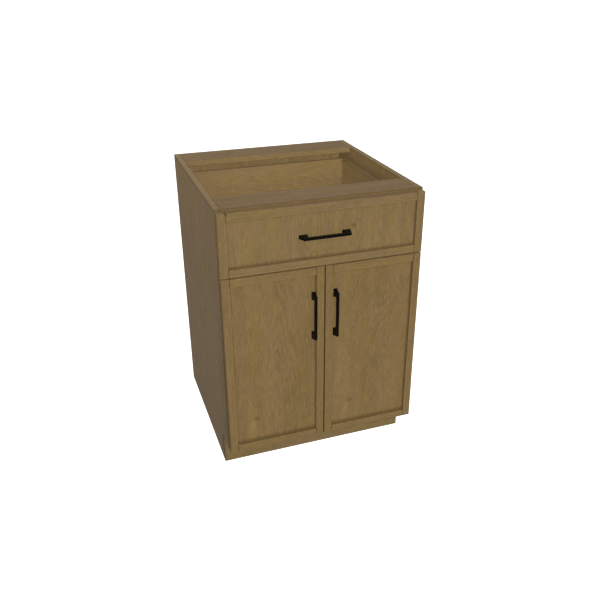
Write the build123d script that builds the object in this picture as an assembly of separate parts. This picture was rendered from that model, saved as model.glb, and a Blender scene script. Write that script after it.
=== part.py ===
from build123d import *
import os

os.makedirs("parts", exist_ok=True)

# ---------------------------------------------------------------- driving dimensions (mm)
# Working coordinates: x = 0 on the middle of the cabinet, y = 0 on the front edges of the
# carcass with +y to the wall, z = 0 on the floor. Everything is moved by Y_SHIFT at export.
W = 609.6            # overall width, 24 in
DEPTH = 609.6        # carcass depth, 24 in
HEIGHT = 876.3       # overall height, 34.5 in
T = 18.0             # carcass board thickness
BACK_T = 6.35        # back panel thickness
TOE_H = 101.6        # toe space height, 4 in
TOE_FACE = 69.85     # toe board front face
TOE_T = 19.05        # toe board thickness
STR_W = 101.6        # width of the top stretchers

GAP = 3.175          # fronts stand this far off the carcass
FRONT_T = 19.05      # door and drawer front frame thickness
SEAM = 3.175         # seam between drawer front and doors
TOP_REVEAL = 6.35    # drawer front top edge below the carcass top
HALF_FRONT = 302.6   # half the overall width of the fronts
MID_GAP = 3.2        # gap between the two doors
DRAWER_FRONT_H = 184.15
SW = 24.0            # stile and rail width
RECESS = 6.35        # panel recess
GROOVE_D = 8.0       # panel groove depth
TONGUE_T = 6.35      # panel tongue thickness
EASE_F = 1.1         # eased front edges of frame members
EASE = 0.5           # eased edges of boards

BOX_HALF = 278.5     # drawer box outer half width
BOX_T = 12.7         # drawer box side thickness
BOX_L = 533.4        # drawer box length
BOX_Z0 = 707.0
BOX_Z1 = 834.0
BOX_BOT = 719.7      # underside of the drawer bottom
BOX_BOT_T = 6.35

PULL_CC = 128.0      # pull hole spacing
PULL_BAR_L = 141.0
PULL_BAR_W = 7.6
PULL_FRONT = -40.8   # front face of the pull bar
PULL_BAR_BACK = -32.2
DOOR_PULL_X = 33.6
DOOR_PULL_Z = 528.4
DRAWER_PULL_Z = 777.4

HINGE_Z = (190.0, 592.0)
CUP_X = 280.6        # hinge cup centre, 22 mm from the door edge
CUP_R = 17.5
CUP_DEPTH = 10.5
PIN_X = 286.0        # hinge pin
PIN_Y = -9.0
SHELF_Z = 380.0
SHELF_T = 18.0

Y_SHIFT = -(DEPTH + PULL_FRONT) / 2

HW = W / 2
IN = HW - T                      # inner face of the sides
YB = DEPTH - BACK_T              # rear edge of the side boards
YF = -GAP - FRONT_T              # front face of the frames
YR = -GAP                        # rear face of the fronts
YP = YF + RECESS                 # front face of the recessed panels
YT = YP + TONGUE_T               # back of the panel tongues

DF_Z1 = HEIGHT - TOP_REVEAL
DF_Z0 = DF_Z1 - DRAWER_FRONT_H
DOOR_Z0 = TOE_H
DOOR_Z1 = DF_Z0 - SEAM

MINA = (Align.CENTER, Align.CENTER, Align.MIN)


# ---------------------------------------------------------------- helpers
def bx(x0, x1, y0, y1, z0, z1):
    x0, x1 = min(x0, x1), max(x0, x1)
    y0, y1 = min(y0, y1), max(y0, y1)
    z0, z1 = min(z0, z1), max(z0, z1)
    return Pos((x0 + x1) / 2, (y0 + y1) / 2, (z0 + z1) / 2) * Box(x1 - x0, y1 - y0, z1 - z0)


def board(x0, x1, y0, y1, z0, z1, c=EASE):
    b = bx(x0, x1, y0, y1, z0, z1)
    return chamfer(b.edges(), c)


def cyl(x, y, z, r, h, ax):
    rot = {"x": Rot(0, 90, 0), "y": Rot(-90, 0, 0), "z": Rot(0, 0, 0)}[ax]
    if h < 0:
        if ax == "x":
            x += h
        elif ax == "y":
            y += h
        else:
            z += h
        h = -h
    return Pos(x, y, z) * rot * Cylinder(r, h, align=MINA)


def cone(x, y, z, r0, r1, h, ax):
    rot = {"x": Rot(0, 90, 0), "y": Rot(-90, 0, 0), "z": Rot(0, 0, 0)}[ax]
    return Pos(x, y, z) * rot * Cone(r0, r1, h, align=MINA)


def cut(a, tools):
    for t in tools:
        a = a - t
    return a


def mirror_x(s):
    return mirror(s, Plane.YZ)


P = {}


def put(name, *shapes):
    P.setdefault(name, [])
    for s in shapes:
        P[name] += list(s.solids())


# ---------------------------------------------------------------- dowels of the carcass
DOWEL_R, DOWEL_L, DOWEL_IN = 4.0, 30.0, 12.0
dowel_rows = (
    [(110.6, y) for y in (120.0, 330.0, 540.0)]
    + [(867.3, y) for y in (24.0, 78.0)]
    + [(867.3, y) for y in (524.0, 580.0)]
    + [(679.0, y) for y in (18.0, 52.0)]
)
dowels = []
dowel_holes_left, dowel_holes_right = [], []
for z, y in dowel_rows:
    x = -IN - DOWEL_IN
    d = chamfer(cyl(x, y, z, DOWEL_R, DOWEL_L, "x").edges(), 0.8)
    dowels += [d, mirror_x(d)]
    h = cyl(x - 0.5, y, z, DOWEL_R + 0.1, DOWEL_L + 1.5, "x")
    dowel_holes_left.append(h)
    dowel_holes_right.append(mirror_x(h))
put("carcass_dowels", *dowels)

# ---------------------------------------------------------------- side panels
HOLE_Z = [281.5 + 32 * i for i in range(7)]
PIN_Y1, PIN_Y2 = 60.0, 520.0
PIN_Z = SHELF_Z - 2.5


def side_panel():
    s = bx(-HW, -IN, 0, YB, 0, HEIGHT) - bx(-HW - 1, -IN + 1, -1, TOE_FACE + TOE_T, -1, TOE_H)
    keep = []
    for e in s.edges():
        c = e.center()
        if abs(c.Y - (TOE_FACE + TOE_T)) < 0.1 and abs(c.Z - TOE_H) < 0.1:
            continue
        keep.append(e)
    s = chamfer(keep, EASE)
    tools = list(dowel_holes_left)
    for z in HOLE_Z:
        for y in (PIN_Y1, PIN_Y2):
            tools.append(cyl(-IN - 10, y, z, 2.5, 11, "x"))
    # pilot holes for the slide and hinge plate screws
    for y, z in slide_screws:
        tools.append(cyl(-IN - 13, y, z, 1.95, 14, "x"))
    for zc in HINGE_Z:
        for dz in (-16, 16):
            tools.append(cyl(-IN - 13, 37.0, zc + dz, 1.95, 14, "x"))
    for z in back_screw_z:
        tools.append(cyl(-HW + T / 2, YB - 19, z, 1.45, 20, "y"))
    return cut(s, tools)


slide_screws = [(37.0, 730.0), (261.0, 730.0), (453.0, 730.0)]
back_screw_z = [60.0, 300.0, 560.0, 820.0]

left_side = side_panel()
put("left_side_panel", left_side)
put("right_side_panel", mirror_x(left_side))

# ---------------------------------------------------------------- boards between the sides
bottom = board(-IN, IN, 0, YB, TOE_H, TOE_H + T)
bottom = cut(bottom, dowel_holes_left[:3] + dowel_holes_right[:3])
back_screw_x = [-180.0, 0.0, 180.0]
bottom = cut(bottom, [cyl(x, YB - 19, TOE_H + T / 2, 1.45, 20, "y") for x in back_screw_x])
put("bottom_panel", bottom)

front_str = board(-IN, IN, 0, STR_W, HEIGHT - T, HEIGHT)
put("front_stretcher", cut(front_str, dowel_holes_left[3:5] + dowel_holes_right[3:5]))

rear_str = board(-IN, IN, YB - STR_W, YB, HEIGHT - T, HEIGHT)
rear_str = cut(rear_str, dowel_holes_left[5:7] + dowel_holes_right[5:7])
rear_str = cut(rear_str, [cyl(x, YB - 19, HEIGHT - T / 2, 1.45, 20, "y") for x in back_screw_x])
put("rear_stretcher", rear_str)

mid_str = board(-IN, IN, 0, 70, 670.0, 688.0)
put("mid_stretcher", cut(mid_str, dowel_holes_left[7:9] + dowel_holes_right[7:9]))

# ---------------------------------------------------------------- back panel, toe board, screws
back = board(-HW, HW, YB, DEPTH, 0, HEIGHT, 0.4)
screws = []
back_tools = []
screw_pos = [(sx * (HW - T / 2), z) for sx in (-1, 1) for z in back_screw_z]
screw_pos += [(x, HEIGHT - T / 2) for x in back_screw_x]
screw_pos += [(x, TOE_H + T / 2) for x in back_screw_x]
for x, z in screw_pos:
    back_tools.append(cyl(x, YB - 1, z, 1.55, BACK_T + 2, "y"))
    back_tools.append(cone(x, DEPTH - 1.85, z, 1.5, 3.4, 1.9, "y"))
    s = cyl(x, YB - 17, z, 1.4, 17 + BACK_T - 1.7, "y") + cone(x, DEPTH - 1.8, z, 1.4, 3.1, 1.7, "y")
    s = s - bx(x - 2.2, x + 2.2, DEPTH - 0.9, DEPTH, z - 0.35, z + 0.35)
    s = s - bx(x - 0.35, x + 0.35, DEPTH - 0.9, DEPTH, z - 2.2, z + 2.2)
    screws.append(s)
put("back_panel", cut(back, back_tools))
put("back_panel_screws", *screws)

put("toe_kick_board", board(-HW, HW, TOE_FACE, TOE_FACE + TOE_T, 0, TOE_H))

# ---------------------------------------------------------------- shelf
put("adjustable_shelf", board(-IN + 1.5, IN - 1.5, 30, 590, SHELF_Z, SHELF_Z + SHELF_T))
pins = []
for y in (PIN_Y1, PIN_Y2):
    p = cyl(-IN - 9.0, y, PIN_Z, 2.45, 9.0, "x")
    p += cyl(-IN, y, PIN_Z - 1.5, 4.0, 1.0, "x")
    p += bx(-IN + 1.0, -IN + 9.0, y - 3.2, y + 3.2, PIN_Z - 1.0, SHELF_Z)
    p += bx(-IN + 0.9, -IN + 2.4, y - 3.2, y + 3.2, PIN_Z - 6.0, SHELF_Z)
    p = p - bx(-IN - 10, -IN + 12, y - 10, y + 10, SHELF_Z, SHELF_Z + 5)
    pins += [p, mirror_x(p)]
put("shelf_pins", *pins)

# ---------------------------------------------------------------- drawer slides
RAIL_Y0, RAIL_Y1 = 12.0, 527.0


def slide_cabinet_rail():
    r = bx(-IN, -IN + 1.5, 3.0, RAIL_Y1, 702.0, 745.0)
    r += bx(-IN, -226.0, 3.0, RAIL_Y1, 702.0, 703.5)
    r += bx(-262.0, -260.5, RAIL_Y0, RAIL_Y1, 703.5, 710.0)
    r += bx(-260.5, -257.0, RAIL_Y0, RAIL_Y1, 708.5, 710.0)
    r += bx(-227.5, -226.0, RAIL_Y0, RAIL_Y1, 703.5, 710.0)
    r += bx(-231.0, -227.5, RAIL_Y0, RAIL_Y1, 708.5, 710.0)
    tools = [cyl(-IN - 1, y, z, 2.05, 4, "x") for y, z in slide_screws]
    for y in (100.0, 165.0, 350.0, 400.0, 500.0):
        tools.append(cyl(-IN - 1, y, 730.0, 3.0, 4, "x"))
    return cut(r, tools)


def slide_middle_rail():
    r = bx(-259.5, -228.5, 14.0, 520.0, 704.3, 707.7)
    r += bx(-247.0, -241.0, 14.0, 520.0, 707.7, 713.5)
    r += bx(-256.0, -232.0, 14.0, 520.0, 713.5, 717.2)
    return r


def slide_drawer_rail():
    r = bx(-262.0, -226.0, RAIL_Y0, RAIL_Y1, 718.2, BOX_BOT)
    r += bx(-262.0, -260.5, RAIL_Y0, RAIL_Y1, 711.0, 718.2)
    r += bx(-260.5, -249.0, RAIL_Y0, RAIL_Y1, 711.0, 712.5)
    r += bx(-227.5, -226.0, RAIL_Y0, RAIL_Y1, 711.0, 718.2)
    r += bx(-239.0, -227.5, RAIL_Y0, RAIL_Y1, 711.0, 712.5)
    return r


cr, mr, dr = slide_cabinet_rail(), slide_middle_rail(), slide_drawer_rail()
put("left_slide_cabinet_rail", cr)
put("right_slide_cabinet_rail", mirror_x(cr))
put("left_slide_middle_rail", mr)
put("right_slide_middle_rail", mirror_x(mr))
put("left_slide_drawer_rail", dr)
put("right_slide_drawer_rail", mirror_x(dr))

# ---------------------------------------------------------------- drawer box
YBOX1 = YR + BOX_L
BI = BOX_HALF - BOX_T
GR = 6.0
box_dowel_z = (742.0, 780.0, 818.0)
box_dowels, box_dowel_tools = [], []
for y in (YR + BOX_T / 2, YBOX1 - BOX_T / 2):
    for z in box_dowel_z:
        d = chamfer(cyl(-BI - 8.0, y, z, 3.0, 24.0, "x").edges(), 0.5)
        box_dowels += [d, mirror_x(d)]
        h = cyl(-BI - 8.5, y, z, 3.1, 25.0, "x")
        box_dowel_tools += [h, mirror_x(h)]
put("drawer_box_dowels", *box_dowels)

side = board(-BOX_HALF, -BI, YR, YBOX1, BOX_Z0, BOX_Z1, 0.8)
side = side - bx(-BI - GR, -BI + 1, YR + 6.7, YBOX1 + 1, BOX_BOT, BOX_BOT + BOX_BOT_T)
side = cut(side, [t for i, t in enumerate(box_dowel_tools) if i % 2 == 0])
put("drawer_box_left_side", side)
put("drawer_box_right_side", mirror_x(side))

pull_holes_box = [cyl(sx * PULL_CC / 2, YR - 1, DRAWER_PULL_Z, 2.4, BOX_T + 2, "y") for sx in (-1, 1)]
front_screw_pos = [(sx * 215.0, z) for sx in (-1, 1) for z in (735.0, 812.0)]
front_holes_box = [cyl(x, YR - 1, z, 2.3, BOX_T + 2, "y") for x, z in front_screw_pos]
bfront = board(-BI, BI, YR, YR + BOX_T, BOX_Z0, BOX_Z1, 0.8)
bfront = bfront - bx(-BI - 1, BI + 1, YR + 6.7, YR + BOX_T + 1, BOX_BOT, BOX_BOT + BOX_BOT_T)
bfront = cut(bfront, box_dowel_tools[:6] + pull_holes_box + front_holes_box)
put("drawer_box_front", bfront)

bback = board(-BI, BI, YBOX1 - BOX_T, YBOX1, BOX_BOT + BOX_BOT_T, BOX_Z1, 0.8)
put("drawer_box_back", cut(bback, box_dowel_tools[6:]))
put("drawer_box_bottom", bx(-BI - GR, BI + GR, YR + 6.7, YBOX1, BOX_BOT, BOX_BOT + BOX_BOT_T))

clips = []
for sx in (-1, 1):
    c = bx(sx * 224.8, sx * 194.0, YR + BOX_T, 52.0, 708.5, BOX_BOT)
    c = chamfer(c.edges(), 0.8)
    c = c - bx(sx * 218.0, sx * 200.0, 26.0, 60.0, 700.0, 713.0)
    clips.append(c)
put("drawer_locking_clips", *clips)


# ---------------------------------------------------------------- frame-and-panel fronts
def eased_member(x0, x1, z0, z1):
    m = bx(x0, x1, YF, YR, z0, z1)
    front = [e for e in m.edges() if abs(e.center().Y - YF) < 0.01]
    m = chamfer(front, EASE_F)
    rear = [e for e in m.edges() if abs(e.center().Y - YR) < 0.01]
    return chamfer(rear, EASE)


def framed_front(prefix, x0, x1, z0, z1):
    g0, g1 = YP, YT
    ls = eased_member(x0, x0 + SW, z0, z1)
    ls = ls - bx(x0 + SW - GROOVE_D, x0 + SW + 1, g0, g1, z0 - 1, z1 + 1)
    rs = eased_member(x1 - SW, x1, z0, z1)
    rs = rs - bx(x1 - SW - 1, x1 - SW + GROOVE_D, g0, g1, z0 - 1, z1 + 1)
    br = eased_member(x0 + SW, x1 - SW, z0, z0 + SW)
    br += bx(x0 + SW - GROOVE_D, x1 - SW + GROOVE_D, g0, g1, z0, z0 + SW)
    br = br - bx(x0, x1, g0, g1, z0 + SW - GROOVE_D, z0 + SW + 1)
    tr = eased_member(x0 + SW, x1 - SW, z1 - SW, z1)
    tr += bx(x0 + SW - GROOVE_D, x1 - SW + GROOVE_D, g0, g1, z1 - SW, z1)
    tr = tr - bx(x0, x1, g0, g1, z1 - SW - 1, z1 - SW + GROOVE_D)
    k, t = 0.5, GROOVE_D - 1.0
    pn = bx(x0 + SW + k, x1 - SW - k, YP, YR, z0 + SW + k, z1 - SW - k)
    pn += bx(x0 + SW - t, x1 - SW + t, g0, g1, z0 + SW - t, z1 - SW + t)
    return {"left_stile": ls, "right_stile": rs, "top_rail": tr, "bottom_rail": br, "panel": pn}


def pull(prefix, xc, zc, horizontal, head_y, tip_y):
    """One bar pull: bar, two feet, two screws."""
    rot = Rot(0, 0, 0) if horizontal else Rot(0, 90, 0)
    bar = bx(-PULL_BAR_L / 2, PULL_BAR_L / 2, PULL_FRONT, PULL_BAR_BACK, -PULL_BAR_W / 2, PULL_BAR_W / 2)
    bar = chamfer(bar.edges(), 0.6)
    feet, scr = [], []
    for s in (-1, 1):
        u = s * PULL_CC / 2
        base = bx(u - 12.6, u + 12.6, YP - 2.6, YP, -6.1, 6.1)
        base = chamfer([e for e in base.edges() if abs(e.center().Y - (YP - 2.6)) < 0.01], 0.5)
        f0 = Plane(origin=(u, YP - 2.6, 0), x_dir=(1, 0, 0), z_dir=(0, -1, 0)) * Rectangle(19.4, 10.4)
        f1 = Plane(origin=(u, PULL_BAR_BACK, 0), x_dir=(1, 0, 0), z_dir=(0, -1, 0)) * Rectangle(17.4, 8.6)
        neck = loft([f0.face(), f1.face()])
        foot = base + neck
        foot = foot - cyl(u, YP + 1, 0, 2.05, -11.0, "y")
        feet.append(foot)
        sc = cyl(u, head_y, 0, 2.0, -(head_y - tip_y), "y")
        sc += chamfer(cyl(u, head_y, 0, 4.0, 2.2, "y").edges().sort_by(Axis.Y)[-1:], 0.7)
        sc = sc - bx(u - 2.6, u + 2.6, head_y + 1.2, head_y + 3, -0.5, 0.5)
        sc = sc - bx(u - 0.5, u + 0.5, head_y + 1.2, head_y + 3, -2.6, 2.6)
        scr.append(sc)
    loc = Pos(xc, 0, zc)
    put(prefix + "_pull_bar", loc * (rot * bar))
    put(prefix + "_pull_feet", *[loc * (rot * f) for f in feet])
    put(prefix + "_pull_screws", *[loc * (rot * f) for f in scr])


# drawer front
members = framed_front("drawer_front", -HALF_FRONT, HALF_FRONT, DF_Z0, DF_Z1)
members["panel"] = cut(
    members["panel"],
    [cyl(sx * PULL_CC / 2, YP - 1, DRAWER_PULL_Z, 2.4, 16, "y") for sx in (-1, 1)]
    + [cyl(x, YR + 1, z, 1.85, -10.0, "y") for x, z in front_screw_pos],
)
for k, v in members.items():
    put("drawer_front_" + k, v)

fs = []
for x, z in front_screw_pos:
    s = cyl(x, YR + BOX_T, z, 1.8, -(BOX_T + 8.0), "y")
    s += chamfer(cyl(x, YR + BOX_T, z, 4.2, 2.2, "y").edges().sort_by(Axis.Y)[-1:], 0.7)
    s = s - bx(x - 2.6, x + 2.6, YR + BOX_T + 1.2, YR + BOX_T + 3, z - 0.5, z + 0.5)
    s = s - bx(x - 0.5, x + 0.5, YR + BOX_T + 1.2, YR + BOX_T + 3, z - 2.6, z + 2.6)
    fs.append(s)
put("drawer_front_screws", *fs)
pull("drawer", 0.0, DRAWER_PULL_Z, True, YR + BOX_T, YP - 8.0)


def bumper(x, z):
    b = cyl(x, YR, z, 4.0, 3.0, "y")
    return chamfer(b.edges().sort_by(Axis.Y)[-1:], 0.8)


put("drawer_bumpers", *[bumper(sx * 294.5, z) for sx in (-1, 1) for z in (700.0, 855.0)])

# ---------------------------------------------------------------- doors and hinges
DOOR_IN = MID_GAP / 2


def hinge_cup(zc):
    """Pressed-in cup with its flange behind the door, and the pin across the cup."""
    cup = cyl(-CUP_X, YR, zc, CUP_R - 0.1, -CUP_DEPTH + 0.1, "y")
    flange = bx(-CUP_X - 21.0, -CUP_X + 21.0, YR, YR + 1.2, zc - 12.0, zc + 12.0)
    flange = chamfer([e for e in flange.edges() if abs(e.tangent_at(0).Y) > 0.9], 3.0)
    flange += cyl(-CUP_X, YR, zc, CUP_R + 1.5, 1.2, "y")
    cup += flange
    cup = cup - cyl(-CUP_X, YR + 3, zc, CUP_R - 1.5, -(CUP_DEPTH + 3 - 1.2), "y")
    pin_hole = cyl(-PIN_X, PIN_Y, zc - 16.3, 1.55, 32.6, "z")
    cup = cup - pin_hole
    pin = cyl(-PIN_X, PIN_Y, zc - 16.0, 1.5, 32.0, "z")
    return cup, pin


def hinge_link(zc):
    """Gooseneck: eye on the pin, cross piece inside the cup, bar back into the arm."""
    eye = cyl(-PIN_X, PIN_Y, zc - 4.0, 3.0, 8.0, "z")
    cross = bx(-PIN_X, -268.5, PIN_Y - 1.5, PIN_Y + 1.5, zc - 4.0, zc + 4.0)
    bar = bx(-271.5, -268.5, PIN_Y - 1.5, 60.0, zc - 4.0, zc + 4.0)
    link = eye + cross + bar
    return link - cyl(-PIN_X, PIN_Y, zc - 5.0, 1.9, 10.0, "z")


def hinge_arm(zc):
    a = bx(-275.0, -265.0, 4.0, 76.0, zc - 9.0, zc + 9.0)
    a = chamfer([e for e in a.edges() if abs(e.tangent_at(0).Y) > 0.9], 1.2)
    a = a - bx(-273.0, -267.0, 3.0, 72.0, zc - 5.5, zc + 5.5)
    return a


def hinge_plate(zc):
    p = bx(-IN, -IN + 1.8, 24.0, 50.0, zc - 24.0, zc + 24.0)
    p = chamfer([e for e in p.edges() if abs(e.tangent_at(0).X) > 0.9], 6.0)
    p += bx(-IN, -275.0, 20.0, 70.0, zc - 7.5, zc + 7.5)
    for dz in (-16, 16):
        p = p - cyl(-IN - 1, 37.0, zc + dz, 2.15, 4, "x")
    return p


cups, pins2, links, arms, plates = [], [], [], [], []
for zc in HINGE_Z:
    c, p = hinge_cup(zc)
    cups.append(c)
    pins2.append(p)
    links.append(hinge_link(zc))
    arms.append(hinge_arm(zc))
    plates.append(hinge_plate(zc))

put("hinge_arms", *(arms + [mirror_x(a) for a in arms]))
put("hinge_mounting_plates", *(plates + [mirror_x(a) for a in plates]))
put("left_hinge_links", *links)
put("right_hinge_links", *[mirror_x(a) for a in links])
put("left_door_hinge_cups", *(cups + pins2))
put("right_door_hinge_cups", *[mirror_x(a) for a in cups + pins2])

cup_tools_left = [cyl(-CUP_X, YR + 1, zc, CUP_R, -(CUP_DEPTH + 1), "y") for zc in HINGE_Z]
cup_tools_right = [mirror_x(t) for t in cup_tools_left]

for sx, prefix, x0, x1, tools in (
    (-1, "left_door", -HALF_FRONT, -DOOR_IN, cup_tools_left),
    (1, "right_door", DOOR_IN, HALF_FRONT, cup_tools_right),
):
    members = framed_front(prefix, x0, x1, DOOR_Z0, DOOR_Z1)
    members["panel"] = cut(
        members["panel"],
        tools + [cyl(sx * DOOR_PULL_X, YP - 1, DOOR_PULL_Z + s * PULL_CC / 2, 2.4, 16, "y") for s in (-1, 1)],
    )
    hs = "left_stile" if sx < 0 else "right_stile"
    members[hs] = cut(members[hs], tools)
    for k, v in members.items():
        put(prefix + "_" + k, v)
    pull(prefix, sx * DOOR_PULL_X, DOOR_PULL_Z, False, YR, YP - 8.0)
    put(prefix + "_bumpers", bumper(sx * (DOOR_IN + 9.0), DOOR_Z0 + 9.0), bumper(sx * (DOOR_IN + 9.0), DOOR_Z1 - 6.3))

# ---------------------------------------------------------------- screws of slides and hinge plates
hw = []
for y, z in slide_screws:
    s = cyl(-IN + 1.5, y, z, 1.9, -(1.5 + 12.0), "x")
    s += chamfer(cyl(-IN + 1.5, y, z, 3.6, 2.2, "x").edges().sort_by(Axis.X)[-1:], 0.7)
    s = s - bx(-IN + 2.7, -IN + 5, y - 2.3, y + 2.3, z - 0.45, z + 0.45)
    s = s - bx(-IN + 2.7, -IN + 5, y - 0.45, y + 0.45, z - 2.3, z + 2.3)
    hw += [s, mirror_x(s)]
for zc in HINGE_Z:
    for dz in (-16, 16):
        z = zc + dz
        s = cyl(-IN + 1.8, 37.0, z, 1.9, -(1.8 + 12.0), "x")
        s += chamfer(cyl(-IN + 1.8, 37.0, z, 3.6, 2.2, "x").edges().sort_by(Axis.X)[-1:], 0.7)
        s = s - bx(-IN + 3.0, -IN + 5, 34.7, 39.3, z - 0.45, z + 0.45)
        s = s - bx(-IN + 3.0, -IN + 5, 36.55, 37.45, z - 2.3, z + 2.3)
        hw += [s, mirror_x(s)]
put("carcass_hardware_screws", *hw)

# ---------------------------------------------------------------- export
for name, solids in P.items():
    moved = [Pos(0, Y_SHIFT, 0) * s for s in solids]
    shape = moved[0] if len(moved) == 1 else Compound(children=moved)
    shape.label = name
    export_step(shape, "parts/" + name + ".step")
print(len(P), "nodes")
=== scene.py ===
import math
import random
import zlib

import bmesh
import bpy
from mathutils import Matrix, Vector


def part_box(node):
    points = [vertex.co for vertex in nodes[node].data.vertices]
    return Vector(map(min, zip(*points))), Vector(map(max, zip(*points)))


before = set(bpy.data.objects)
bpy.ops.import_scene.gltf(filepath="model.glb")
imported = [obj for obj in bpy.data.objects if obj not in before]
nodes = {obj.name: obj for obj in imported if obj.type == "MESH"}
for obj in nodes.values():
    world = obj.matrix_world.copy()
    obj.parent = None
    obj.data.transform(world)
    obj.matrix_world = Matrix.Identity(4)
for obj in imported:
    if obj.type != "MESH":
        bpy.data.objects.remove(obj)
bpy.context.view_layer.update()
scene = bpy.context.scene

MM = 0.001
Y_SHIFT = -284.4  # from the carcass front plane to the part's own origin, mm


# ------------------------------------------------------------------ node tree helper
class Graph:
    """Writes a material's node tree from the shader back to the coordinates."""

    def __init__(self, tree):
        self.tree = tree

    def node(self, kind, ins=None, **props):
        n = self.tree.nodes.new(kind)
        for k, v in props.items():
            setattr(n, k, v)
        for k, v in (ins or {}).items():
            self.put(n.inputs[k], v)
        return n

    def put(self, socket, value):
        if isinstance(value, bpy.types.NodeSocket):
            self.tree.links.new(value, socket)
        else:
            socket.default_value = value

    def math(self, op, a, b=None, c=None, clamp=False):
        n = self.node("ShaderNodeMath", operation=op, use_clamp=clamp)
        for i, v in enumerate((a, b, c)):
            if v is not None:
                self.put(n.inputs[i], v)
        return n.outputs[0]

    def add(self, a, b):
        return self.math("ADD", a, b)

    def sub(self, a, b):
        return self.math("SUBTRACT", a, b)

    def mul(self, a, b):
        return self.math("MULTIPLY", a, b)

    def madd(self, a, b, c):
        return self.math("MULTIPLY_ADD", a, b, c)

    def vec(self, op, a, b=None, scale=None):
        n = self.node("ShaderNodeVectorMath", operation=op)
        if scale is not None:
            n.inputs["Scale"].default_value = scale
        self.put(n.inputs[0], a)
        if b is not None:
            self.put(n.inputs[1], b)
        return n.outputs[0]

    def step(self, v, lo, hi, out_lo=0.0, out_hi=1.0):
        """A smooth step from out_lo at lo to out_hi at hi."""
        n = self.node("ShaderNodeMapRange", interpolation_type="SMOOTHSTEP")
        for i, x in enumerate((v, lo, hi, out_lo, out_hi)):
            self.put(n.inputs[i], x)
        return n.outputs[0]

    def noise(self, vec, detail=2.0, rough=0.5, scale=1.0, distortion=0.0):
        n = self.node("ShaderNodeTexNoise", noise_dimensions="3D")
        for k, v in (
            ("Vector", vec),
            ("Scale", scale),
            ("Detail", detail),
            ("Roughness", rough),
            ("Distortion", distortion),
        ):
            self.put(n.inputs[k], v)
        return n.outputs["Fac"]

    def mix(self, fac, a, b, blend="MIX"):
        n = self.node("ShaderNodeMix", data_type="RGBA", blend_type=blend)
        n.clamp_factor = True
        self.put(n.inputs[0], fac)
        for socket, v in ((n.inputs[6], a), (n.inputs[7], b)):
            self.put(socket, v if isinstance(v, bpy.types.NodeSocket) else (*v, 1.0))
        return n.outputs[2]


def material(name):
    m = bpy.data.materials.new(name)
    m.use_nodes = True
    m.node_tree.nodes.clear()
    g = Graph(m.node_tree)
    out = g.node("ShaderNodeOutputMaterial")
    bsdf = g.node("ShaderNodeBsdfPrincipled")
    m.node_tree.links.new(bsdf.outputs[0], out.inputs[0])
    return m, g, bsdf


def srgb(r, g, b):
    """Linear colour of an sRGB value given from 0 to 255."""

    def one(c):
        c /= 255.0
        return c / 12.92 if c <= 0.04045 else ((c + 0.055) / 1.055) ** 2.4

    return (one(r), one(g), one(b))


def scaled(c, k):
    return tuple(x * k for x in c)


def paint(name, mat):
    o = nodes[name]
    o.data.materials.clear()
    o.data.materials.append(mat)
    for p in o.data.polygons:
        p.material_index = 0


# ------------------------------------------------------------------ oak
AXES = "XYZ"


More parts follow.
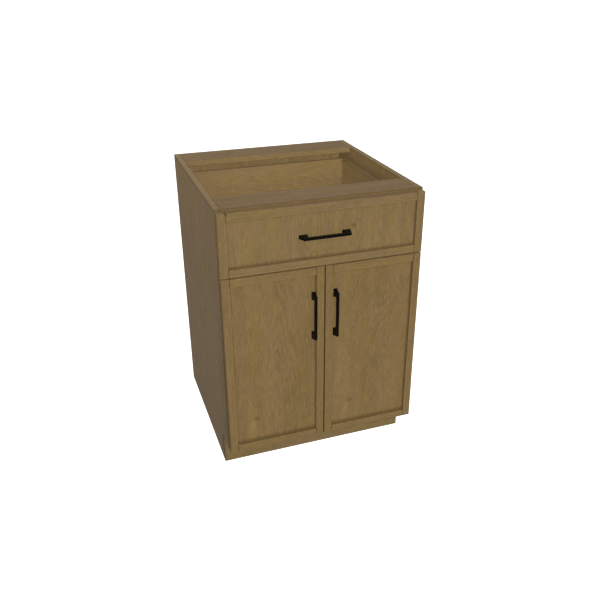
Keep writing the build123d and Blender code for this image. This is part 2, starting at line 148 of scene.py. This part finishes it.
def oak(
    name,
    grain,
    tone,
    contrast=1.0,
    figure="plain",
    knots=(),
    spacing=4.2,
    roughness=0.46,
    faces=(),
    lines=(),
    painted_light=(),
    seed=0,
    gloss=0.16,
    raw=0.0,
    tinge=1.0,
):
    """Stained and lacquered oak for the CAD node name, sawn from its own stretch of log.
    grain is the axis of its fibres, and the rings of the log are cut by the board's face.
    figure is plain (flat sawn, with arches), rift (even straight grain) or quarter.
    knots are (across mm, along mm, size mm, strength) in part coordinates.
    faces are (axis, value mm, other tone): the face in that plane took the stain in another tone,
    and the darker top face of the drawer front's top rail is partly painted shade from the gap behind it.
    lines are (axis, value mm, width mm, darkness): a darker band along a joint, edge or recess,
    partly stain in the joints and mostly painted shade, and painted_light are the same for a
    lighter band that is painted light: painted highlights along edges and a lighter top. Each may end with
    (axis, from mm, to mm, softness mm), the stretch it keeps to."""
    lo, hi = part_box(name)
    size = [hi[i] - lo[i] for i in range(3)]
    gi = AXES.index(grain)
    rest = [i for i in range(3) if i != gi]
    ti = min(rest, key=lambda i: size[i])
    ai = [i for i in rest if i != ti][0]
    c = [(hi[i] + lo[i]) / 2 for i in range(3)]
    rng = random.Random(zlib.crc32(name.encode()) + seed)

    m, g, bsdf = material("oak_" + name)
    coord = g.node("ShaderNodeTexCoord").outputs["Object"]
    p = g.vec("MULTIPLY", g.vec("SUBTRACT", coord, tuple(c)), (1000.0,) * 3)
    sep = g.node("ShaderNodeSeparateXYZ", {0: p}).outputs
    u, v, w = sep[ai], sep[ti], sep[gi]
    board = g.node("ShaderNodeCombineXYZ", {0: u, 1: v, 2: w}).outputs[0]
    shift = tuple(rng.uniform(-900, 900) for _ in range(3))
    q = g.vec("ADD", board, shift)  # for the noise, so that no two boards agree

    def field(a, b, along, detail=2.0, rough=0.5, distortion=0.0):
        return g.noise(
            g.vec("MULTIPLY", q, (1.0 / a, 1.0 / b, 1.0 / along)),
            detail,
            rough,
            1.0,
            distortion,
        )

    # the log: its pith lies behind the face and wanders along the board
    side = rng.choice((-1, 1))
    if figure == "plain":
        pith_u, pith_v = rng.uniform(-0.18, 0.18) * size[ai] * 1000, rng.uniform(60, 95)
        tilt_u, tilt_v = rng.uniform(-0.03, 0.03), side * rng.uniform(0.05, 0.09)
        sway = 16.0
    elif figure == "quarter":
        pith_u, pith_v = side * rng.uniform(160, 240), rng.uniform(5, 20)
        tilt_u, tilt_v = rng.uniform(-0.02, 0.02), 0.01
        sway = 9.0
    else:
        pith_u, pith_v = side * rng.uniform(110, 170), rng.uniform(70, 110)
        tilt_u, tilt_v = rng.uniform(-0.035, 0.035), rng.uniform(-0.03, 0.03)
        sway = 7.0
    wide1 = field(95, 95, 420, 1.0)
    wide2 = field(70, 70, 300, 1.0, 0.5)
    lean_u = g.madd(w, tilt_u, g.madd(wide1, 2 * sway, -sway - pith_u))
    lean_v = g.madd(w, tilt_v, g.madd(wide2, 2 * sway, -sway - pith_v))
    ru = g.add(u, lean_u)
    rv = g.add(v, lean_v)
    radius = g.math("SQRT", g.add(g.mul(ru, ru), g.mul(rv, rv)))
    wobble = field(13, 13, 120, 2.0)
    radius = g.madd(wobble, 5.0, radius)
    eye = pale = curl = None
    for ku, kw, ksize, kforce in knots:
        du = g.sub(u, ku - c[ai] * 1000)
        dw = g.sub(w, kw - c[gi] * 1000)
        du2 = g.math("POWER", g.mul(du, 1.0 / (2.6 * ksize)), 2.0)
        dw2 = g.math("POWER", g.mul(dw, 1.0 / (5.2 * ksize)), 2.0)
        swell = g.math("EXPONENT", g.mul(g.add(du2, dw2), -1.0))
        radius = g.madd(swell, 3.2 * spacing * kforce, radius)
        eu = g.math("POWER", g.mul(du, 1.0 / (1.15 * ksize)), 2.0)
        ew = g.math("POWER", g.mul(dw, 1.0 / (1.05 * ksize)), 2.0)
        d = g.math("SQRT", g.add(eu, ew))
        d = g.madd(field(5, 5, 7, 1.0), 1.1, g.add(d, -0.55))
        one = g.mul(g.step(d, 0.0, 1.6, 1.0, 0.0), 0.80 * kforce)
        eye = one if eye is None else g.math("MAXIMUM", eye, one)
        # the fibres run round it and come up pale on one side
        pu = g.math("POWER", g.mul(g.madd(dw, -0.35, g.add(du, 0.4 * ksize)), 1.0 / (1.1 * ksize)), 2.0)
        pw = g.math("POWER", g.mul(g.add(dw, 3.4 * ksize), 1.0 / (3.2 * ksize)), 2.0)
        one = g.mul(g.math("EXPONENT", g.mul(g.add(pu, pw), -1.0)), 0.75 * kforce)
        pale = one if pale is None else g.math("MAXIMUM", pale, one)
        # below it they run slantwise before they straighten again
        across = g.madd(du, 0.86, g.mul(dw, -0.5))
        down = g.madd(du, 0.5, g.mul(dw, 0.86))
        slant = g.node("ShaderNodeCombineXYZ", {0: g.mul(across, 1 / 2.8), 1: rng.uniform(0, 99), 2: g.mul(down, 1 / 17.0)}).outputs[0]
        cu = g.math("POWER", g.mul(g.add(du, 1.0 * ksize), 1.0 / (1.9 * ksize)), 2.0)
        cw = g.math("POWER", g.mul(g.add(dw, 2.6 * ksize), 1.0 / (2.6 * ksize)), 2.0)
        here = g.math("EXPONENT", g.mul(g.add(cu, cw), -1.0))
        one = g.mul(g.mul(g.sub(g.noise(slant, 2.0, 0.55), 0.5), here), 2.0 * kforce)
        curl = one if curl is None else g.add(curl, one)

    phase = g.mul(radius, 1.0 / spacing)
    saw = g.math("FRACT", phase)
    ring = g.math("FLOOR", phase)
    year = g.node(
        "ShaderNodeTexWhiteNoise", {"W": g.add(ring, rng.uniform(0, 50))},
        noise_dimensions="1D",
    ).outputs["Value"]
    early = g.mul(g.step(saw, 0.0, 0.14), g.step(saw, 0.22, 0.62, 1.0, 0.0))
    late = g.mul(g.step(saw, 0.45, 0.93), g.step(saw, 0.95, 1.0, 1.0, 0.0))

    fibre = field(0.8, 0.8, 45, 3.0, 0.6)
    streak = field(3.4, 3.4, 17, 2.0, 0.6)
    band = field(30, 30, 420, 2.0, 0.45)
    cloud = field(26, 26, 60, 2.0, 0.55, 0.5)
    flake = field(1.6, 5.0, 9.0, 1.0)  # medullary rays, short and pale
    pore = field(0.34, 0.34, 5.5, 1.0, 0.5)

    t = g.madd(g.sub(early, late), 0.07, 0.5)
    t = g.madd(g.sub(year, 0.5), 0.07, t)
    t = g.madd(g.sub(fibre, 0.5), 0.75, t)
    t = g.madd(g.sub(streak, 0.5), 0.95, t)
    t = g.madd(g.sub(band, 0.5), 0.5, t)
    t = g.madd(g.sub(cloud, 0.5), 0.42, t)
    if curl is not None:
        t = g.add(t, curl)
    ray = g.step(flake, 0.66, 0.78)
    t = g.madd(ray, -0.12, t)
    t = g.math("MULTIPLY_ADD", g.sub(t, 0.5), 1.12 * contrast, 0.5, clamp=True)

    hue = g.step(g.madd(field(17, 17, 60, 2.0, 0.6, 0.4), 0.48, g.mul(field(38, 38, 400, 1.0), 0.52)), 0.37, 0.63)
    gold = tuple(x * (1 + k * tinge) for x, k in zip(tone, (0.0, 0.012, -0.07)))
    rose = tuple(x * (1 + k * tinge) for x, k in zip(tone, (0.0, -0.016, 0.10)))
    light_c = g.mix(hue, scaled(gold, 1.26), scaled(rose, 1.26))
    dark_c = g.mix(hue, tuple(x * k for x, k in zip(gold, (0.72, 0.70, 0.66))), tuple(x * k for x, k in zip(rose, (0.72, 0.70, 0.66))))
    colour = g.mix(t, light_c, dark_c)

    def place(axis, value):
        return value - c[AXES.index(axis)] * 1000

    def along(item, mask):
        if len(item) > 4:
            axis, low, high, soft = (*item[4], 0.2)[:4]
            x = sep[AXES.index(axis)]
            inside = g.mul(
                g.step(x, place(axis, low) - soft, place(axis, low) + soft),
                g.step(x, place(axis, high) - soft, place(axis, high) + soft, 1.0, 0.0),
            )
            mask = g.mul(mask, inside)
        return mask

    for axis, value, other in faces:
        d = g.math("ABSOLUTE", g.sub(sep[AXES.index(axis)], place(axis, value)))
        o_gold = tuple(x * (1 + k * tinge) for x, k in zip(other, (0.0, 0.012, -0.07)))
        o_rose = tuple(x * (1 + k * tinge) for x, k in zip(other, (0.0, -0.016, 0.10)))
        o_mid = g.mix(hue, o_gold, o_rose)
        o_colour = g.mix(t, g.vec("SCALE", o_mid, scale=1.24), g.vec("SCALE", o_mid, scale=0.72))
        colour = g.mix(g.step(d, 0.15, 0.4, 1.0, 0.0), colour, o_colour)
    pores = g.mul(g.step(pore, 0.60, 0.70), g.madd(early, 0.75, 0.25))
    colour = g.mix(g.mul(pores, 0.55 - 0.25 * raw), colour, scaled(tone, 0.42))
    if eye is not None:
        colour = g.mix(g.mul(pale, g.step(streak, 0.35, 0.6)), colour, tuple(x * k for x, k in zip(tone, (1.5, 1.55, 1.6))))
        colour = g.mix(eye, colour, tuple(x * k for x, k in zip(tone, (0.40, 0.36, 0.30))))
    if lines or painted_light:
        ragged = field(3, 3, 14, 1.0)
    for item in painted_light:
        axis, value, width, much = item[:4]
        d = g.math("ABSOLUTE", g.sub(sep[AXES.index(axis)], place(axis, value)))
        d = g.madd(ragged, 0.5 * width, g.add(d, -0.25 * width))
        colour = g.mix(along(item, g.mul(g.step(d, 0.3 * width, width, 1.0, 0.0), much)), colour, scaled(tone, 1.5))
    for item in lines:
        axis, value, width, much = item[:4]
        d = g.math("ABSOLUTE", g.sub(sep[AXES.index(axis)], place(axis, value)))
        d = g.madd(ragged, 0.5 * width, g.add(d, -0.25 * width))
        colour = g.mix(along(item, g.mul(g.step(d, 0.25 * width, width, 1.0, 0.0), much)), colour, tuple(x * k for x, k in zip(tone, (0.17, 0.135, 0.09))))
    g.put(bsdf.inputs["Base Color"], colour)

    rough = g.madd(g.sub(cloud, 0.5), 0.16, roughness)
    rough = g.madd(pores, 0.18, rough)
    rough = g.madd(g.sub(fibre, 0.5), 0.12, rough)
    g.put(bsdf.inputs["Roughness"], rough)
    bsdf.inputs["Specular IOR Level"].default_value = gloss
    bsdf.inputs["IOR"].default_value = 1.5
    bsdf.inputs["Coat Weight"].default_value = 0.0 if raw else 0.06
    bsdf.inputs["Coat Roughness"].default_value = 0.28
    height = g.madd(pores, -1.0, g.madd(fibre, 0.45, g.mul(late, 0.25)))
    bump = g.node("ShaderNodeBump", {"Strength": 0.35, "Distance": 0.00012, "Height": height})
    g.put(bsdf.inputs["Normal"], bump.outputs[0])
    return m


# ------------------------------------------------------------------ metal, plastic, rubber, dowels
def coords(g, scale=1000.0):
    coord = g.node("ShaderNodeTexCoord").outputs["Object"]
    return g.vec("MULTIPLY", coord, (scale,) * 3)


def powder_black():
    """Fine textured black powder coat, with soft patches and grit in its tone and roughness."""
    m, g, bsdf = material("pull_black_powder_coat")
    p = coords(g)
    grit = g.noise(p, 2.0, 0.6, 2.6)
    soft = g.noise(p, 2.0, 0.5, 0.09)
    colour = g.mix(g.step(soft, 0.3, 0.7), (0.0014, 0.0014, 0.0015), (0.0026, 0.0026, 0.0027))
    colour = g.mix(g.step(grit, 0.58, 0.75), colour, (0.0048, 0.0049, 0.0051))
    g.put(bsdf.inputs["Base Color"], colour)
    g.put(bsdf.inputs["Roughness"], g.madd(g.sub(grit, 0.5), 0.22, g.madd(soft, 0.10, 0.33)))
    bsdf.inputs["Specular IOR Level"].default_value = 0.10
    bump = g.node("ShaderNodeBump", {"Strength": 0.25, "Distance": 0.00006, "Height": grit})
    g.put(bsdf.inputs["Normal"], bump.outputs[0])
    return m


def plated(name, light, dark, rough, axis="Y", spangle=0.0, dust=0.15):
    """Plated steel, drawn along one axis: fine lines, cloudy plating, dull specks."""
    m, g, bsdf = material(name)
    p = coords(g)
    k = [3.2, 3.2, 3.2]
    k[AXES.index(axis)] = 0.05
    drawn = g.noise(g.vec("MULTIPLY", p, tuple(k)), 3.0, 0.65)
    cloud = g.noise(p, 3.0, 0.55, 0.06, 0.8)
    speck = g.noise(p, 2.0, 0.6, 0.8)
    t = g.madd(g.sub(drawn, 0.5), 0.9, g.madd(g.sub(cloud, 0.5), 1.3, 0.5))
    colour = g.mix(t, light, dark)
    if spangle:
        cells = g.node("ShaderNodeTexVoronoi", {"Vector": p, "Scale": 0.16, "Randomness": 1.0})
        shade = g.node("ShaderNodeSeparateColor", {0: cells.outputs["Color"]}).outputs[0]
        colour = g.mix(g.mul(shade, spangle), colour, scaled(light, 0.62))
    colour = g.mix(g.mul(g.step(speck, 0.6, 0.8), dust), colour, scaled(dark, 0.5))
    g.put(bsdf.inputs["Base Color"], colour)
    bsdf.inputs["Metallic"].default_value = 0.8
    g.put(bsdf.inputs["Roughness"], g.madd(g.sub(drawn, 0.5), 0.30, g.madd(g.sub(cloud, 0.5), 0.25, rough)))
    bump = g.node("ShaderNodeBump", {"Strength": 0.2, "Distance": 0.00004, "Height": drawn})
    g.put(bsdf.inputs["Normal"], bump.outputs[0])
    return m


def moulded(name, light, dark, rough, spec=0.4):
    """Moulded plastic or rubber: spark-eroded grain and slow tone changes from the flow."""
    m, g, bsdf = material(name)
    p = coords(g)
    grit = g.noise(p, 2.0, 0.55, 1.9)
    flow = g.noise(p, 2.0, 0.5, 0.16, 1.2)
    colour = g.mix(g.madd(g.sub(grit, 0.5), 0.6, g.madd(g.sub(flow, 0.5), 1.5, 0.5)), light, dark)
    g.put(bsdf.inputs["Base Color"], colour)
    g.put(bsdf.inputs["Roughness"], g.madd(g.sub(grit, 0.5), 0.25, g.madd(g.sub(flow, 0.5), 0.12, rough)))
    bsdf.inputs["Specular IOR Level"].default_value = spec
    bump = g.node("ShaderNodeBump", {"Strength": 0.3, "Distance": 0.00008, "Height": grit})
    g.put(bsdf.inputs["Normal"], bump.outputs[0])
    return m


def beech(name, axis):
    """Raw beech dowel rod: pale, with the short darker flecks of beech along its axis."""
    m, g, bsdf = material(name)
    p = coords(g)
    k_long, k_fleck = [0.9] * 3, [1.6] * 3
    k_long[AXES.index(axis)] = 0.05
    k_fleck[AXES.index(axis)] = 0.4
    long = g.noise(g.vec("MULTIPLY", p, tuple(k_long)), 2.0, 0.55)
    fleck = g.noise(g.vec("MULTIPLY", p, tuple(k_fleck)), 1.0, 0.5)
    base = srgb(205, 170, 128)
    colour = g.mix(g.madd(g.sub(long, 0.5), 1.4, 0.5), scaled(base, 1.12), scaled(base, 0.84))
    colour = g.mix(g.mul(g.step(fleck, 0.60, 0.72), 0.5), colour, scaled(base, 0.55))
    g.put(bsdf.inputs["Base Color"], colour)
    g.put(bsdf.inputs["Roughness"], g.madd(fleck, 0.2, 0.55))
    bsdf.inputs["Specular IOR Level"].default_value = 0.3
    bump = g.node("ShaderNodeBump", {"Strength": 0.3, "Distance": 0.0001, "Height": long})
    g.put(bsdf.inputs["Normal"], bump.outputs[0])
    return m


# ------------------------------------------------------------------ finishes piece by piece
FRONT = srgb(126, 105, 69)
FRONT_LOW = srgb(124, 102, 65)
# the inner faces are lighter than the outer ones: painted light for the shaded inside
INSIDE_LIT = srgb(133, 111, 75)
SIDE_OUT = srgb(129, 105, 67)
SIDE_TOP = srgb(124, 103, 62)
EDGE_BROWN = srgb(101, 81, 50)
EDGE_SIDE = srgb(114, 92, 57)
EDGE_TOE = srgb(81, 64, 39)
# front face of the front stretcher; its darker tone is partly painted shade from the gap above the drawer front
EDGE_GOLD = srgb(117, 99, 63)
TOPS = srgb(121, 97, 59)
# drawer box tones, lighter in part as painted light
BOX = srgb(142, 120, 80)
BOX_END = srgb(136, 115, 78)
BOX_TOP = srgb(118, 96, 66)
# top face of the drawer front's top rail, darker as painted shade from the gap behind it
RAIL_TOP = srgb(114, 92, 62)
DOOR_TOP = srgb(104, 85, 55)
MEETING = srgb(104, 86, 55)
EDGE_REAR = srgb(131, 111, 74)
Y0 = Y_SHIFT  # the carcass front plane in the part's frame
TOP = 876.3

# carcass
for hand, sx in (("left", -1), ("right", 1)):
    n = hand + "_side_panel"
    # dark lines along the top edges; painted shade down the front edge from the gap behind the doors, low on the
    # front of the outer face (darker towards the bottom and front) and on the inner face beside the drawer box's
    # top; the wide lighter band at the top is painted light
    paint(n, oak(n, "Z", INSIDE_LIT, 0.9, "plain", tinge=1.9, faces=[("X", sx * 304.8, SIDE_OUT), ("Z", TOP, SIDE_TOP), ("Y", Y0, EDGE_BROWN)],
                 lines=[("X", sx * 304.8, 2.4, 0.32, ("Z", 870, 880)), ("X", sx * 286.8, 2.6, 0.5 if sx < 0 else 0.14, ("Z", 870, 880)),
                        ("Y", Y0, 11.0, 0.30, ("Z", 876.0, 877.0)), ("Y", Y0, 1.2, 0.16, ("Z", 50, 866)), ("Y", Y0, 22.0, 0.12, ("Z", 30, 420, 50)),
                        ("Y", Y0, 95.0, 0.20, ("Z", -500, 560, 220)),
                        ("Z", 826.0, 30.0, 0.17, ("X", sx * 286.8 - 3, sx * 286.8 + 3))],
                 painted_light=[("Z", TOP, 240.0, 0.11)]))
paint("bottom_panel", oak("bottom_panel", "X", INSIDE_LIT, 0.9, "plain"))
paint("back_panel", oak("back_panel", "Z", srgb(131, 112, 75), 1.0, "plain", faces=[("Y", Y0 + 609.6, srgb(150, 127, 88))]))
# the dark line along the lower edge of the rear stretcher's front face is painted shade under it
paint("rear_stretcher", oak("rear_stretcher", "X", EDGE_REAR, 1.0, "plain", spacing=3.2, faces=[("Z", TOP, srgb(117, 93, 55))],
                            lines=[("Y", Y0 + 508.0, 7.0, 0.10, ("Z", 876.0, 877.0)), ("Z", 858.3, 2.4, 0.40), ("X", -286.8, 1.2, 0.5), ("X", 286.8, 1.2, 0.5)]))
# on the front stretcher: a dark line on the top arris, a painted shadow line on its front face above the drawer
# front, its top darker towards the left end, and dark lines where it meets the sides
paint("front_stretcher", oak("front_stretcher", "X", EDGE_GOLD, 1.0, "plain", spacing=3.2, faces=[("Z", TOP, TOPS)],
                             lines=[("Y", Y0, 9.0, 0.22, ("Z", 876.0, 877.0)), ("Z", 876.3, 2.8, 0.40, ("Y", Y0 - 1, Y0 + 0.5)),
                                    ("X", -286.8, 300.0, 0.07, ("Z", 876.0, 877.0)), ("Z", 870.5, 4.0, 0.12, ("Y", Y0 - 1, Y0 + 0.5)), ("X", -286.8, 1.2, 0.5), ("X", 286.8, 1.2, 0.5)]))
paint("mid_stretcher", oak("mid_stretcher", "X", INSIDE_LIT, 1.0, "plain", spacing=3.2))
paint("toe_kick_board", oak("toe_kick_board", "X", srgb(120, 101, 66), 1.0, "plain", faces=[("X", -304.8, EDGE_TOE), ("X", 304.8, EDGE_TOE)],
                            lines=[("X", -304.8, 12.0, 0.18)]))
paint("adjustable_shelf", oak("adjustable_shelf", "X", INSIDE_LIT, 0.9, "plain"))

# drawer box, yellower and lighter, the lighter tone partly painted light for its shaded inside, and lightly
# lacquered
for hand, sx in (("left", -1), ("right", 1)):
    n = "drawer_box_" + hand + "_side"
    paint(n, oak(n, "Y", srgb(138, 117, 79), 0.8, "rift", faces=[("Z", 834.0, srgb(113, 92, 64))],
                 lines=[("Z", 834.0, 14.0, 0.20, ("X", sx * 265.8 - 1.5, sx * 265.8 + 1.5))]))
for n in ("drawer_box_front", "drawer_box_back"):
    paint(n, oak(n, "X", BOX_END, 0.8, "plain", faces=[("Z", 834.0, BOX_TOP)]))
paint("drawer_box_bottom", oak("drawer_box_bottom", "X", BOX, 0.8, "plain"))


def paint_front(prefix, x0, x1, z0, z1, tone, knots, tops, meeting=None, corner=0.0):
    """Stiles and panels run up, rails run across. Darker in the grooves where they meet, partly stain and
    partly painted shade; painted shade on the ledges beside the panel that face up and left, along the
    panel's sides, most along two of them, and at the front's bottom edge; painted highlights on edges."""
    w = 24.0
    xl, xr, zb, zt = x0 + w, x1 - w, z0 + w, z1 - w
    # darkness of the groove lines, partly painted shade, and of the ledge lines, painted shade
    groove, ledge = 0.70 - 0.25 * corner, 0.38
    rails = (("Z", z0 - 1, zb), ("Z", zt, z1 + 1))
    # painted shade on the panel above the bottom rail, wider on the doors
    wide, low = (16.0, 0.42) if meeting else (11.0, 0.42)
    # foot is a painted shadow along the bottom edge; brow darkens the top edge of the face
    foot, brow = ("Z", z0, 2.6, 0.38), ("Z", z1, 1.6, 0.30, ("Y", -400, Y0 - 21.6, 0.5))
    edges = [("Z", z1, tops[0])]
    edges += [("X", x, MEETING if x == meeting else EDGE_SIDE) for x in (x0, x1)]
    top = ("Z", z1 - 5, z1 + 1, 1.0)
    n = prefix + "_left_stile"
    lines = [("X", xl, 1.5, groove, r) for r in rails] + [foot]
    painted_light = [("X", xl, 3.4, 0.34, ("Z", zb, zt))]
    # with corner, painted shade at the top of the inner edges and along the top edge
    if corner:
        lines += [("X", xl, 4.5, corner, top), brow]
    else:
        painted_light += [("Z", z1, 1.2, 0.3)]
    if meeting == x0:
        lines += [("X", x0, 1.0, 0.3)]
    elif corner:
        painted_light += [("X", x0, 1.2, 0.2)]
    else:
        lines += [("X", x0, 7.0, 0.08)]
    paint(n, oak(n, "Z", tone, 0.9, "rift", faces=edges, lines=lines, painted_light=painted_light))
    n = prefix + "_right_stile"
    paint(n, oak(n, "Z", tone, 0.9, "rift", faces=edges,
                 lines=[("X", xr, 1.5, groove, r) for r in rails] + [("X", xr, 0.8, ledge, ("Z", zb, zt)), foot],
                 painted_light=[("Z", z1, 1.2, 0.3)] + ([("X", x1, 1.2, 0.3)] if meeting != x1 else [])))
    ends = [("X", xl, 1.5, groove), ("X", xr, 1.5, groove)]
    if corner:
        ends += [("X", x, 4.5, corner, top) for x in (xl, xr)]
    n = prefix + "_top_rail"
    paint(n, oak(n, "X", tone, 0.9, "rift", faces=[("Z", z1, tops[1])], lines=ends + ([brow] if corner else []), painted_light=[("Z", zt, 3.6, 0.42)]))
    n = prefix + "_bottom_rail"
    paint(n, oak(n, "X", tone, 0.9, "rift", lines=ends + [("Z", zb, 0.8, ledge), foot], painted_light=[("Z", z0, 3.0, 0.14)]))
    n = prefix + "_panel"
    paint(n, oak(n, "Z", tone, 1.0, "plain", knots=knots,
                 lines=[("X", xr, 7.5, 0.40), ("Z", zb, wide, low), ("X", xl, 6.0, 0.20), ("Z", zt, 6.0, 0.20)]))


paint_front("drawer_front", -302.6, 302.6, 685.8, 869.95, FRONT, [(85.0, 793.0, 7.0, 0.7)],
            (srgb(124, 108, 72), RAIL_TOP), corner=0.6)
paint_front("left_door", -302.6, -1.6, 101.6, 682.625, FRONT_LOW, [(-217.0, 206.0, 8.0, 0.72)],
            (DOOR_TOP, DOOR_TOP), -1.6)
paint_front("right_door", 1.6, 302.6, 101.6, 682.625, FRONT_LOW, [(88.0, 206.0, 8.0, 0.72)],
            (DOOR_TOP, DOOR_TOP), 1.6)

black = powder_black()
zinc_rail = plated("slide_zinc_steel", (0.60, 0.61, 0.62), (0.40, 0.41, 0.43), 0.36, "Y", 0.35)
zinc_screw = plated("screw_zinc_steel", (0.66, 0.66, 0.64), (0.42, 0.42, 0.42), 0.30, "X", 0.0)
nickel = plated("hinge_nickel_steel", (0.74, 0.71, 0.66), (0.54, 0.52, 0.48), 0.34, "Y", 0.0)
clip = moulded("clip_grey_plastic", srgb(120, 122, 124), srgb(92, 94, 97), 0.48)
bumper = moulded("bumper_soft_rubber", srgb(178, 176, 170), srgb(146, 144, 139), 0.55, 0.3)

for n in nodes:
    if "pull_" in n and "screws" not in n:
        paint(n, black)
    elif "slide" in n:
        paint(n, zinc_rail)
    elif "screws" in n:
        paint(n, zinc_screw)
    elif "hinge" in n or n == "shelf_pins":
        paint(n, nickel)
    elif "clips" in n:
        paint(n, clip)
    elif "bumpers" in n:
        paint(n, bumper)
    elif n == "carcass_dowels":
        paint(n, beech("dowel_beech_carcass", "X"))
    elif n == "drawer_box_dowels":
        paint(n, beech("dowel_beech_drawer", "Y"))

left_over = [n for n, o in nodes.items() if not o.data.materials or not o.data.materials[0].use_nodes
             or o.data.materials[0].name.startswith("Material")]
assert not left_over, left_over


# ------------------------------------------------------------------ floor
def make_floor():
    me = bpy.data.meshes.new("studio_floor")
    bm = bmesh.new()
    rings = (0.8, 2.0, 6.0, 20.0, 90.0)
    centre = bm.verts.new((0, 0, 0))
    last = None
    for r in rings:
        now = [bm.verts.new((r * math.cos(a * math.pi / 24), r * math.sin(a * math.pi / 24), 0)) for a in range(48)]
        for i in range(48):
            j = (i + 1) % 48
            if last is None:
                bm.faces.new((centre, now[i], now[j]))
            else:
                bm.faces.new((last[i], now[i], now[j], last[j]))
        last = now
    bm.to_mesh(me)
    bm.free()
    o = bpy.data.objects.new("studio_floor", me)
    scene.collection.objects.link(o)
    o.location = (0, 0, -0.0004)
    m, g, bsdf = material("floor_pale")
    p = coords(g, 1.0)
    tint = g.noise(p, 2.0, 0.5, 0.7)
    g.put(bsdf.inputs["Base Color"], g.mix(tint, (0.80, 0.80, 0.80), (0.83, 0.83, 0.83)))
    bsdf.inputs["Roughness"].default_value = 0.7
    bsdf.inputs["Specular IOR Level"].default_value = 0.1
    bsdf.inputs["Emission Color"].default_value = (1, 1, 1, 1)
    bsdf.inputs["Emission Strength"].default_value = 0.90
    # the floor is lit to white for the picture, and gives the cabinet only a soft fill
    fill = g.node("ShaderNodeBsdfDiffuse", {"Color": (0.31, 0.31, 0.31, 1)})
    seen = g.node("ShaderNodeMixShader")
    g.put(seen.inputs[0], g.node("ShaderNodeLightPath").outputs["Is Camera Ray"])
    g.put(seen.inputs[1], fill.outputs[0])
    g.put(seen.inputs[2], bsdf.outputs[0])
    out = [n for n in m.node_tree.nodes if n.type == "OUTPUT_MATERIAL"][0]
    g.put(out.inputs[0], seen.outputs[0])
    me.materials.append(m)
    return o


make_floor()

# ------------------------------------------------------------------ light
world = bpy.data.worlds.new("studio")
scene.world = world
world.use_nodes = True
wt = world.node_tree
wt.nodes.clear()
wg = Graph(wt)
w_out = wg.node("ShaderNodeOutputWorld")
w_path = wg.node("ShaderNodeLightPath").outputs
w_bg = wg.node("ShaderNodeBackground", {"Color": (1, 1, 1, 1), "Strength": wg.madd(w_path["Is Glossy Ray"], 0.18, 0.24)})
w_seen = wg.node("ShaderNodeBackground", {"Color": (1, 1, 1, 1), "Strength": 1.0})
w_mix = wg.node("ShaderNodeMixShader")
wt.links.new(w_path["Is Camera Ray"], w_mix.inputs[0])
wt.links.new(w_bg.outputs[0], w_mix.inputs[1])
wt.links.new(w_seen.outputs[0], w_mix.inputs[2])
wt.links.new(w_mix.outputs[0], w_out.inputs[0])


def softbox(name, direction, distance, width, height, watts, target=(0, 0, 0.5), shadow=True):
    d = bpy.data.lights.new(name, "AREA")
    d.use_shadow = shadow
    d.shape = "RECTANGLE"
    d.size, d.size_y = width, height
    d.energy = watts
    o = bpy.data.objects.new(name, d)
    scene.collection.objects.link(o)
    back = Vector(direction).normalized()
    o.location = Vector(target) + back * distance
    o.rotation_mode = "QUATERNION"
    o.rotation_quaternion = (-back).to_track_quat("-Z", "Y")
    o.visible_camera = False
    return o


softbox("key_softbox", (-0.24, -1.0, 0.34), 9.0, 6.0, 3.6, 150)
softbox("overhead_softbox", (0.06, -0.05, 1.0), 5.0, 4.0, 3.6, 100, target=(0, 0, 0.876), shadow=False)
softbox("fill_front_softbox", (-0.17, -1.0, 0.12), 12.0, 8.0, 6.0, 1065, shadow=False).visible_glossy = False
softbox("fill_left_softbox", (-1.3, 0.45, 1.05), 1.75, 1.2, 0.9, 11.5, target=(-0.3, 0.1, 0.8), shadow=False).visible_glossy = False
softbox("fill_right_softbox", (0.80, 0.70, 0.10), 12.0, 8.0, 6.0, 520, shadow=False).visible_glossy = False
softbox("fill_back_softbox", (0.15, 1.0, 0.12), 12.0, 8.0, 6.0, 560, shadow=False).visible_glossy = False

# ------------------------------------------------------------------ camera
cam_data = bpy.data.cameras.new("camera")
cam = bpy.data.objects.new("camera", cam_data)
scene.collection.objects.link(cam)
cam.location = (-0.641761, -1.986402, 1.464538)
cam.rotation_mode = "XYZ"
cam.rotation_euler = (math.radians(90 - 26.307), 0.0, math.radians(-19.596))
cam_data.sensor_fit = "HORIZONTAL"
cam_data.sensor_width = 36.0
cam_data.lens = 692.236 / 600.0 * 36.0
cam_data.shift_x = -0.018143
cam_data.shift_y = 0.00018
cam_data.clip_start, cam_data.clip_end = 0.05, 300.0
cam_data.dof.use_dof = False
scene.camera = cam

scene.view_settings.view_transform = "Standard"
scene.view_settings.look = "None"
scene.view_settings.exposure = 0.0
scene.view_settings.gamma = 1.0
